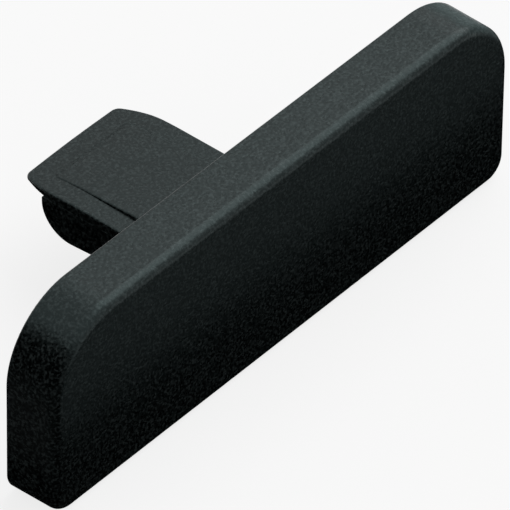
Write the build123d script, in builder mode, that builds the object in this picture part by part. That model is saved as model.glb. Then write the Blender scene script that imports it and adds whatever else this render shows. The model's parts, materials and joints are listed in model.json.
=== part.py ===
"""Profile end cap: a moulded cover with a flat plug that pushes into the end of a profile.

The cap is one moulding. X runs along the cover, +Y into the profile and +Z up. The origin is the
middle of the seating plane, where the cover meets the profile, level with the plug's upper face.
Lengths are in millimetres.
"""

import math
import os

from build123d import *

# ---------------------------------------------------------------- driving dimensions
# Cover
cover_length = 80.0
cover_height = 26.4
cover_depth = 7.2
top_corner_radius = 10.2
bottom_corner_radius = 3.0
draft_angle = 1.0            # on the top and both ends; the underside is left square to stand on
face_fillet = 1.3            # round the visible face
rim_fillet = 0.35            # round the outside of the seating plane
cover_wall = 1.8
face_wall = 2.0
cover_rib = 1.4
cover_rib_setback = 0.5      # the ribs end short of the seating plane, so that only the rim seats

# Plug plate
plug_level = 13.2            # the plug's upper face above the cover's underside
plate_width = 18.5
plate_length = 25.3
plate_thickness = 1.15
plate_edge_fillet = 0.3      # round its upper edges
nose_length = 6.4            # over which the sides and the upper face close in
nose_inset = 1.4             # by which each side closes in
nose_edge = 0.35             # thickness left at the tip
nose_crown = 0.15            # how far the middle of the tip stands ahead of its corners
nose_corner_radius = 1.1
nose_blend_radius = 40.0     # where the upper face, and the pad on it, turn down

# Ribs under the plate
rib_proud = 0.1              # how far the side ribs stand out past the plate
rib_tip_setback = 3.9        # from the plate's tip to the ribs' tips
rib_depth = 6.2              # at the ribs' tips, from the plate's upper face to their lower edges
rib_rise_angle = 4.0         # at which the lower edges climb back towards the cover
rib_nose_radius = 4.2
side_rib = 1.6
middle_rib = 1.4

# Clamping pad on the plate: a shallow wedge, highest at the seating plane
pad_margin = 2.8             # from the plate's sides to the pad's
pad_end_setback = 2.85       # from the plate's tip to the pad's end
pad_rise = 0.75
pad_toe_rise = 0.08          # left where the nose starts, and kept down the nose to the pad's end
pad_edge_fillet = 0.25
pad_end_run = 0.8            # over which the pad's end slopes down into the plate
pad_end_sink = 0.03          # by which the slope runs on below the plate's surface
pad_end_blend_radius = 2.0

# ---------------------------------------------------------------- worked out from them
underside = -plug_level
draft_inset = cover_depth * math.tan(math.radians(draft_angle))
pocket_depth = cover_depth - face_wall
pocket_end_x = cover_length / 2 - cover_wall
nose_start = plate_length - nose_length
nose_width = plate_width - 2 * nose_inset
nose_drop = plate_thickness - nose_edge
rib_length = plate_length - rib_tip_setback
side_rib_x = plate_width / 2 + rib_proud - side_rib / 2
bay_rib_x = (side_rib_x + pocket_end_x) / 2
plug_rib_places = ((-side_rib_x, side_rib), (0, middle_rib), (side_rib_x, side_rib))
cover_rib_places = ((-bay_rib_x, cover_rib), *plug_rib_places, (bay_rib_x, cover_rib))
pad_width = plate_width - 2 * pad_margin
pad_length = plate_length - pad_end_setback
rib_root_depth = rib_depth - (rib_length + pocket_depth) * math.tan(math.radians(rib_rise_angle))
pad_brow_y = pad_length - pad_end_run
pad_brow_level = pad_toe_rise - nose_drop * (pad_brow_y - nose_start) / nose_length
pad_end_level = -pad_end_sink - nose_drop * (pad_length - nose_start) / nose_length
pad_bed_level = pad_end_level - nose_edge / 2


def cover_section(inset):
    """Draw the cover's outline, closed in at the top and the ends but not underneath."""
    with Locations((0, underside)):
        Rectangle(cover_length - 2 * inset, cover_height - inset, align=(Align.CENTER, Align.MIN))
    fillet(vertices().group_by(Axis.Y)[-1], top_corner_radius - inset)
    fillet(vertices().group_by(Axis.Y)[0], bottom_corner_radius)


def upper_rim(builder):
    """Pick the edges round a shape above its flat underside, except upright ones and any along X."""
    edges = builder.edges().filter_by(Axis.X, reverse=True).filter_by(Axis.Z, reverse=True)
    underneath, *above = edges.group_by(Axis.Z)
    return [edge for group in above for edge in group]


# ---------------------------------------------------------------- cover
with BuildPart() as cover:
    with BuildSketch(Plane.XZ):
        cover_section(0)
    with BuildSketch(Plane.XZ.offset(cover_depth)):
        cover_section(draft_inset)
    loft(ruled=True)
    fillet(cover.faces().sort_by(Axis.Y)[0].edges(), face_fillet)
    fillet(cover.faces().sort_by(Axis.Y)[-1].edges(), rim_fillet)
    # The back is cored out, then ribbed
    with BuildSketch(Plane.XZ):
        cover_section(0)
        offset(amount=-cover_wall)
    extrude(amount=pocket_depth, taper=draft_angle, mode=Mode.SUBTRACT)
    with BuildSketch(Plane.XZ.offset(cover_rib_setback)):
        for x, thickness in cover_rib_places:
            with Locations((x, underside + cover_height / 2)):
                Rectangle(thickness, cover_height - cover_wall)
    extrude(amount=cover_depth - face_wall / 2 - cover_rib_setback, taper=-draft_angle)

# ---------------------------------------------------------------- plug plate
with BuildPart() as plug_plate:
    with BuildSketch(Plane.YZ):
        with BuildLine():
            Polyline((-pocket_depth, 0), (nose_start, 0), (plate_length, -nose_drop),
                     (plate_length, -plate_thickness), (-pocket_depth, -plate_thickness), close=True)
        make_face()
        fillet(vertices().group_by(Axis.Y)[-1].sort_by(Axis.X)[-1], nose_blend_radius)
    extrude(amount=plate_width, both=True)
    with BuildSketch():
        with BuildLine():
            edge = Line((plate_width / 2, -pocket_depth), (plate_width / 2, nose_start))
            side = TangentArc(edge @ 1, (nose_width / 2, plate_length - nose_crown), tangent=(0, 1))
            ThreePointArc(side @ 1, (0, plate_length), (-nose_width / 2, plate_length - nose_crown))
            mirror(edge, about=Plane.YZ)
            mirror(side, about=Plane.YZ)
            Line(edge @ 0, (-plate_width / 2, -pocket_depth))
        make_face()
        fillet(vertices().group_by(Axis.Y)[-1], nose_corner_radius)
    extrude(amount=plate_thickness * 2, both=True, mode=Mode.INTERSECT)
    fillet(upper_rim(plug_plate), plate_edge_fillet)

# ---------------------------------------------------------------- plug ribs
with BuildPart() as plug_ribs:
    for x, thickness in plug_rib_places:
        with BuildSketch(Plane.YZ.offset(x - thickness / 2)):
            with BuildLine():
                Polyline((-pocket_depth, -plate_thickness), (rib_length, -plate_thickness),
                         (rib_length, -rib_depth), (-pocket_depth, -rib_root_depth), close=True)
            make_face()
            fillet(vertices().sort_by(Axis.Y)[0], rib_nose_radius)
        extrude(amount=thickness)

# ---------------------------------------------------------------- clamping pad
with BuildPart() as clamping_pad:
    with BuildSketch(Plane.YZ):
        with BuildLine():
            Polyline((-pocket_depth, pad_rise), (0, pad_rise), (nose_start, pad_toe_rise),
                     (pad_brow_y, pad_brow_level), (pad_length, pad_end_level),
                     (pad_length, pad_bed_level), (-pocket_depth, pad_bed_level), close=True)
        make_face()
        fillet(vertices().sort_by(Axis.X)[-4], nose_blend_radius)
        fillet(vertices().sort_by(Axis.X)[-3], pad_end_blend_radius)
    extrude(amount=pad_width / 2, both=True)
    fillet(upper_rim(clamping_pad), pad_edge_fillet)

# ---------------------------------------------------------------- one moulding
with BuildPart() as end_cap:
    add(cover)
    add(plug_plate)
    add(plug_ribs)
    add(clamping_pad)

end_cap.part.label = "end_cap"
os.makedirs("parts", exist_ok=True)
export_step(end_cap.part, "parts/end_cap.step")
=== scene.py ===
"""The looks of a profile end cap: its black moulded plastic, the pale floor it stands on and the light.

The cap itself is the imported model, so this file gives it a finish, a studio and a camera, and moves
nothing. Blender works in metres, so sizes given in millimetres are turned by one factor.
"""

import json
import logging
import math
from dataclasses import dataclass, field
from enum import Enum
from typing import Any

import bpy
from mathutils import Matrix, Vector

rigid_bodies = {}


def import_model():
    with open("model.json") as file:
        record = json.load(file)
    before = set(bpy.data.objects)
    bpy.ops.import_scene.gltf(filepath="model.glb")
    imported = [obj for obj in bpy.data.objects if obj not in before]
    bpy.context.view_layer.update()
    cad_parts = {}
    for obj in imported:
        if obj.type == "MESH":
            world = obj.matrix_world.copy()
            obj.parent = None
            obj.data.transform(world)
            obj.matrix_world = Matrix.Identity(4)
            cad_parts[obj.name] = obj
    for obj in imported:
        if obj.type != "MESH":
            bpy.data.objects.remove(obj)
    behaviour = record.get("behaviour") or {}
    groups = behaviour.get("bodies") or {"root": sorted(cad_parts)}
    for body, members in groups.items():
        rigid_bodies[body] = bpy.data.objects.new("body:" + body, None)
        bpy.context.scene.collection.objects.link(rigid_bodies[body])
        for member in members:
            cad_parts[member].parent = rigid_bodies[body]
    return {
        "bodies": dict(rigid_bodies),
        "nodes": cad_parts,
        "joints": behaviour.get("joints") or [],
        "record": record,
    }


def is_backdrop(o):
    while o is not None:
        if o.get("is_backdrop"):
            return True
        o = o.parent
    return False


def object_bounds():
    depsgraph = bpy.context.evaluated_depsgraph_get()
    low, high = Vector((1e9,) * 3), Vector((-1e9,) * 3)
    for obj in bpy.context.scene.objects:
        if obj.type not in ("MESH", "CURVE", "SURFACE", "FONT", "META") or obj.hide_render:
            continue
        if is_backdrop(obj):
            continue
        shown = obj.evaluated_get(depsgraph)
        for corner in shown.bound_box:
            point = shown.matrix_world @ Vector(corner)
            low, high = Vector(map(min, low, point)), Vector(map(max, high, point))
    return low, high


MM = 0.001

log = logging.getLogger("end_cap")


class SeenBy(Enum):
    """The rays that show a pale surround, by the names of their Light Path outputs."""

    CAMERA = "Is Camera Ray"
    GLOSSY = "Is Glossy Ray"
    TRANSMISSION = "Is Transmission Ray"


def linear(hex_colour: str) -> tuple[float, float, float, float]:
    """Turn an sRGB hex colour into linear red, green, blue and alpha.

    Args:
        hex_colour: Six hex digits, with or without a leading hash.

    Returns:
        The linear colour, with an alpha of 1.
    """
    digits = hex_colour.lstrip("#")
    channels = [int(digits[i : i + 2], 16) / 255 for i in (0, 2, 4)]
    red, green, blue = (c / 12.92 if c <= 0.04045 else ((c + 0.055) / 1.055) ** 2.4 for c in channels)
    return red, green, blue, 1.0


def per_metre(size_mm: float) -> float:
    """Return the texture scale that repeats a pattern every so many millimetres."""
    return 1 / (size_mm * MM)


def direction(azimuth: float, elevation: float) -> Vector:
    """Return the unit vector from the cap towards a place round it.

    Args:
        azimuth: Degrees round the cap: 0 is in front, on the -Y side, and 90 on the +X side.
        elevation: Degrees above the horizon.

    Returns:
        The unit vector.
    """
    a, e = math.radians(azimuth), math.radians(elevation)
    return Vector((math.sin(a) * math.cos(e), -math.cos(a) * math.cos(e), math.sin(e)))


def empty_tree(owner: bpy.types.Material | bpy.types.World) -> bpy.types.NodeTree:
    """Return the node tree of a material or a world, with nothing in it."""
    owner.use_nodes = True
    owner.node_tree.nodes.clear()
    return owner.node_tree


def add_node(
    tree: bpy.types.NodeTree, kind: str, inputs: dict[str | int, Any], **settings: Any
) -> bpy.types.Node:
    """Add a node to a tree, with its settings, its values and its links.

    Args:
        tree: The node tree that gets the node.
        kind: The node's type name.
        inputs: Socket name or number to a value, or to the output socket that feeds it.
        **settings: Attributes of the node itself.

    Returns:
        The new node.
    """
    node = tree.nodes.new(kind)
    for name, value in settings.items():
        setattr(node, name, value)
    for socket, value in inputs.items():
        if isinstance(value, bpy.types.NodeSocket):
            tree.links.new(value, node.inputs[socket])
        else:
            node.inputs[socket].default_value = value
    return node


def seen_by(tree: bpy.types.NodeTree, *kinds: SeenBy) -> bpy.types.NodeSocket:
    """Return a socket that is 1 for rays of any of these kinds and 0 for the rest.

    Args:
        tree: The tree of a world or a material.
        *kinds: The kinds of ray to pick out.

    Returns:
        The socket to mix with.
    """
    path = add_node(tree, "ShaderNodeLightPath", {})
    picked = path.outputs[kinds[0].value]
    for kind in kinds[1:]:
        either = add_node(tree, "ShaderNodeMath", {0: picked, 1: path.outputs[kind.value]},
                          operation="MAXIMUM")
        picked = either.outputs[0]
    return picked


def lay_sheet(name: str, corners: list[Vector], material: bpy.types.Material) -> bpy.types.Object:
    """Lay a flat four-cornered sheet, which is part of the stage and not of the cap.

    Args:
        name: The sheet's name.
        corners: Its corners in metres, in order round it.
        material: What it is made of.

    Returns:
        The sheet.
    """
    mesh = bpy.data.meshes.new(name)
    mesh.from_pydata(corners, [], [(0, 1, 2, 3)])
    mesh.materials.append(material)
    sheet = bpy.data.objects.new(name, mesh)
    bpy.context.scene.collection.objects.link(sheet)
    sheet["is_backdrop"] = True
    log.info("%s: %s", sheet.name, material.name)
    return sheet


@dataclass(frozen=True)
class SparkErodedPolyamide:
    """Black glass-filled polyamide, moulded against a spark-eroded cavity.

    To the eye it is a deep black with a trace of green, dull from the fine grain that the cavity
    leaves on it. It has faint grey flecks from the glass fibre under its skin, and it turns to a
    soft grey sheen where it faces a pale surround.
    """

    name: str = "black_polyamide"
    black: str = "#010202"
    fleck_grey: str = "#303636"
    sheen_tint: str = "#e0ffff"
    ior: float = 1.5
    gloss: float = 0.305
    roughness: float = 0.3
    roughness_spread: float = 0.12
    # Both are coarser than such plastic usually shows. They have the size of the photo's speckle,
    # and part of that may be the photo's own noise.
    grain_mm: float = 0.45
    grain_height_mm: float = 0.035
    grain_range: tuple[float, float] = (0.3, 0.7)
    fleck_mm: float = 0.34
    fleck_range: tuple[float, float] = (0.46, 0.72)
    pattern_detail: float = 1.0
    pattern_roughness: float = 0.5

    def material(self) -> bpy.types.Material:
        """Build the node material for the moulding."""
        material = bpy.data.materials.new(self.name)
        tree = empty_tree(material)
        place = add_node(tree, "ShaderNodeTexCoord", {}).outputs["Object"]
        shared = {"Vector": place, "Detail": self.pattern_detail, "Roughness": self.pattern_roughness}
        grain = add_node(tree, "ShaderNodeTexNoise", {**shared, "Scale": per_metre(self.grain_mm)})
        flecks = add_node(tree, "ShaderNodeTexNoise", {**shared, "Scale": per_metre(self.fleck_mm)})
        contrast = add_node(tree, "ShaderNodeMapRange",
                            {"Value": flecks.outputs["Fac"],
                             "From Min": self.fleck_range[0], "From Max": self.fleck_range[1]})
        colour = add_node(tree, "ShaderNodeMix",
                          {0: contrast.outputs["Result"],
                           6: linear(self.black), 7: linear(self.fleck_grey)},
                          data_type="RGBA")
        dullness = add_node(tree, "ShaderNodeMapRange",
                            {"Value": grain.outputs["Fac"],
                             "From Min": self.grain_range[0], "From Max": self.grain_range[1],
                             "To Min": self.roughness - self.roughness_spread / 2,
                             "To Max": self.roughness + self.roughness_spread / 2})
        bump = add_node(tree, "ShaderNodeBump",
                        {"Height": grain.outputs["Fac"], "Strength": 1.0,
                         "Distance": self.grain_height_mm * MM})
        skin = add_node(tree, "ShaderNodeBsdfPrincipled",
                        {"Base Color": colour.outputs[2], "Roughness": dullness.outputs["Result"],
                         "Normal": bump.outputs["Normal"], "IOR": self.ior,
                         "Specular IOR Level": self.gloss, "Specular Tint": linear(self.sheen_tint)})
        add_node(tree, "ShaderNodeOutputMaterial", {"Surface": skin.outputs["BSDF"]})
        return material


@dataclass
class EndCap:
    """The moulding: cover, cored back, plug plate, ribs and pad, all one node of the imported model."""

    node: str = "end_cap"
    finish: SparkErodedPolyamide = field(default_factory=SparkErodedPolyamide)

    def dress(self, frame: dict[str, Any]) -> None:
        """Give the moulding its finish.
        """
        moulding = frame["nodes"][self.node]
        material = self.finish.material()
        if not moulding.material_slots:
            moulding.data.materials.append(material)
        for slot in moulding.material_slots:
            slot.material = material
        log.info("%s: %s", moulding.name, material.name)


@dataclass(frozen=True)
class PaintedReflectionCard:
    """A flat sheet of one even colour that glows, though it is no lamp, and that only the cap's own
    sheen meets.

    It is a painted reflection: the face that mirrors it shows it as a dark or pale reflection, the dark
    sheets painting shade and the pale ones painting light. It doesn't show to the camera, casts no
    shadow and gives no light of its own to the cap's colour.
    """

    name: str
    reflection_tone: str
    corner_mm: tuple[float, float, float]
    along_mm: tuple[float, float, float]
    across_mm: tuple[float, float, float]

    @classmethod
    def lying(cls, name: str, reflection_tone: str, corner: tuple[float, float], spans: tuple[float, float],
              lift: float = 0.2) -> "PaintedReflectionCard":
        """Make a card that lies flat.

        Args:
            name: The card's name.
            reflection_tone: Its sRGB hex colour.
            corner: Its lowest X and Y, in millimetres.
            spans: Its sizes along X and Y.
            lift: Its height above the floor.

        Returns:
            The card.
        """
        return cls(name, reflection_tone, (*corner, lift), (spans[0], 0.0, 0.0), (0.0, spans[1], 0.0))

    @classmethod
    def standing(cls, name: str, reflection_tone: str, foot: tuple[float, float], run: tuple[float, float],
                 height: float, lift: float = 0.2) -> "PaintedReflectionCard":
        """Make a card that stands upright.

        Args:
            name: The card's name.
            reflection_tone: Its sRGB hex colour.
            foot: X and Y of one end of its lower edge, in millimetres.
            run: From that end to the other, along X and Y.
            height: Its own height.
            lift: Its lower edge's height above the floor.

        Returns:
            The card.
        """
        return cls(name, reflection_tone, (*foot, lift), (*run, 0.0), (0.0, 0.0, height))

    def material(self) -> bpy.types.Material:
        """Build the card's glow, an even colour that shows only as a painted reflection."""
        material = bpy.data.materials.new(f"{self.name}_tone")
        tree = empty_tree(material)
        # The glow is no lamp: it shows only in the cap's sheen, as a painted reflection.
        glow = add_node(tree, "ShaderNodeEmission", {"Color": linear(self.reflection_tone), "Strength": 1.0})
        add_node(tree, "ShaderNodeOutputMaterial", {"Surface": glow.outputs[0]})
        return material

    def build(self, floor_level: float) -> None:
        """Build the card.

        Args:
            floor_level: Height of the floor in metres, from which the corner's own height counts.
        """
        corner = Vector(self.corner_mm) * MM + Vector((0, 0, floor_level))
        along = Vector(self.along_mm) * MM
        across = Vector(self.across_mm) * MM
        corners = [corner, corner + along, corner + along + across, corner + across]
        card = lay_sheet(self.name, corners, self.material())
        card.visible_camera = False
        card.visible_diffuse = False
        card.visible_shadow = False


@dataclass
class Studio:
    """A pale floor, a dim surround, glowing sheets round the cap that paint dark and pale reflections
    into its sheen, and one broad lamp behind and above it.
    """

    lowest: float
    floor_span: float = 6.0
    floor_white: str = "#ffffff"
    floor_glow: float = 0.8
    floor_grey: str = "#606060"
    # The fill and the key add up to 1, at which a colour renders about as it is written.
    fill_level: float = 0.4
    key_level: float = 0.6
    key_distance: float = 0.9
    key_span: float = 0.95
    key_azimuth: float = 82.0
    key_elevation: float = 52.0
    # Glowing sheets seen only in the cap's sheen: painted reflections, the dark ones painting shade
    # round the cap and the pale ones painting light.
    painted_reflection_sheets: tuple[PaintedReflectionCard, ...] = (
        PaintedReflectionCard.lying("painted_reflection_below", "#050505", (-32.0, -17.0), (112.0, 33.0)),
        PaintedReflectionCard.lying("painted_reflection_under_plug", "#0a0a0a", (-32.0, 16.0), (60.0, 30.0)),
        PaintedReflectionCard.lying("painted_reflection_left_below", "#424242", (-120.0, -75.0), (74.0, 150.0)),
        PaintedReflectionCard.lying("painted_reflection_left_near", "#101010", (-46.0, -75.0), (14.0, 150.0)),
        PaintedReflectionCard.standing("painted_reflection_front_left", "#505050", (-214.0, -260.0), (155.0, 0.0), 90.0),
        PaintedReflectionCard.lying("painted_reflection_front_left_below", "#505050", (-120.0, -260.0), (88.0, 185.0)),
        PaintedReflectionCard.standing("painted_reflection_left", "#050505", (-120.0, -150.0), (0.0, 400.0), 110.0),
        PaintedReflectionCard.standing("painted_reflection_behind", "#202020", (87.0, 308.0), (178.0, -129.0), 60.0, lift=60.0),
        PaintedReflectionCard.standing("painted_reflection_right", "#c0d4d4", (130.0, -60.0), (0.0, 256.0), 60.0),
        PaintedReflectionCard.lying("painted_reflection_right_below", "#8c9898", (80.0, -60.0), (50.0, 160.0)),
        PaintedReflectionCard.lying("painted_reflection_in_front", "#606868", (-32.0, -60.0), (112.0, 43.0)),
        PaintedReflectionCard.standing("painted_reflection_front_right", "#d0d0d0", (71.0, -353.0), (283.0, 283.0), 100.0),
    )

    def light_world(self) -> None:
        """Make a surround that looks white and lights the cap dimly from all sides."""
        white = linear(self.floor_white)
        world = bpy.data.worlds.new("surround")
        bpy.context.scene.world = world
        tree = empty_tree(world)
        seen = add_node(tree, "ShaderNodeBackground", {"Color": white, "Strength": 1.0})
        felt = add_node(tree, "ShaderNodeBackground", {"Color": white, "Strength": self.fill_level})
        mixed = add_node(tree, "ShaderNodeMixShader",
                         {0: seen_by(tree, *SeenBy), 1: felt.outputs[0], 2: seen.outputs[0]})
        add_node(tree, "ShaderNodeOutputWorld", {"Surface": mixed.outputs[0]})

    def floor_paper(self) -> bpy.types.Material:
        """Build the floor's paper: white to look at, and greyer in the light that it gives back."""
        white = linear(self.floor_white)
        material = bpy.data.materials.new("floor_paper")
        tree = empty_tree(material)
        paper = add_node(tree, "ShaderNodeBsdfDiffuse", {"Color": white})
        glow = add_node(tree, "ShaderNodeEmission", {"Color": white, "Strength": 1.0})
        looks = add_node(tree, "ShaderNodeMixShader",
                         {0: self.floor_glow, 1: paper.outputs[0], 2: glow.outputs[0]})
        gives = add_node(tree, "ShaderNodeBsdfDiffuse", {"Color": linear(self.floor_grey)})
        mixed = add_node(tree, "ShaderNodeMixShader",
                         {0: seen_by(tree, *SeenBy), 1: gives.outputs[0], 2: looks.outputs[0]})
        add_node(tree, "ShaderNodeOutputMaterial", {"Surface": mixed.outputs[0]})
        return material

    def lay_floor(self) -> None:
        """Lay the floor under the cap, with the cap's soft shadow kept on it."""
        half = self.floor_span / 2
        sides = ((-half, -half), (half, -half), (half, half), (-half, half))
        lay_sheet("floor", [Vector((x, y, self.lowest)) for x, y in sides], self.floor_paper())

    def hang_key(self) -> None:
        """Hang the broad lamp behind and above the cap."""
        lamp = bpy.data.lights.new("key", "AREA")
        lamp.shape = "SQUARE"
        lamp.size = self.key_span
        lamp.energy = self.key_level * math.pi**2 * self.key_distance**2
        holder = bpy.data.objects.new("key", lamp)
        back = direction(self.key_azimuth, self.key_elevation)
        holder.location = back * self.key_distance
        holder.rotation_euler = back.to_track_quat("Z", "Y").to_euler()
        bpy.context.scene.collection.objects.link(holder)
        log.info("%s lamp: %.2f W", holder.name, lamp.energy)

    def build(self) -> None:
        """Build the whole studio."""
        self.light_world()
        self.lay_floor()
        for card in self.painted_reflection_sheets:
            card.build(self.lowest)
        self.hang_key()


@dataclass
class Camera:
    """A long lens that looks down on the cap from the front left."""

    azimuth: float = -50.283
    elevation: float = 41.130
    roll: float = 0.863
    distance: float = 1.190
    focal_length: float = 738.6
    aim_mm: tuple[float, float, float] = (0.101, -2.546, -2.474)
    nearest: float = 0.01
    farthest: float = 20.0

    def place(self) -> None:
        """Put the camera in the scene and look through it."""
        lens = bpy.data.cameras.new("camera")
        lens.lens = self.focal_length
        lens.clip_start = self.nearest
        lens.clip_end = self.farthest
        holder = bpy.data.objects.new("camera", lens)
        bpy.context.scene.collection.objects.link(holder)
        back = direction(self.azimuth, self.elevation)
        upright = back.to_track_quat("Z", "Y").to_matrix().to_4x4()
        turn = upright @ Matrix.Rotation(math.radians(self.roll), 4, "Z")
        holder.matrix_world = Matrix.Translation(Vector(self.aim_mm) * MM + back * self.distance) @ turn
        bpy.context.scene.camera = holder
        log.info("%s at %s", holder.name, tuple(round(c, 3) for c in holder.location))


def main() -> None:
    """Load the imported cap, finish it, and set up the studio and the camera."""
    logging.basicConfig(level=logging.INFO, format="%(name)s: %(message)s")
    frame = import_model()
    cad_low, cad_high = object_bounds()
    bpy.context.scene.view_settings.view_transform = "Standard"
    EndCap().dress(frame)
    Studio(lowest=cad_low.z).build()
    Camera().place()


if __name__ == "__main__":
    main()
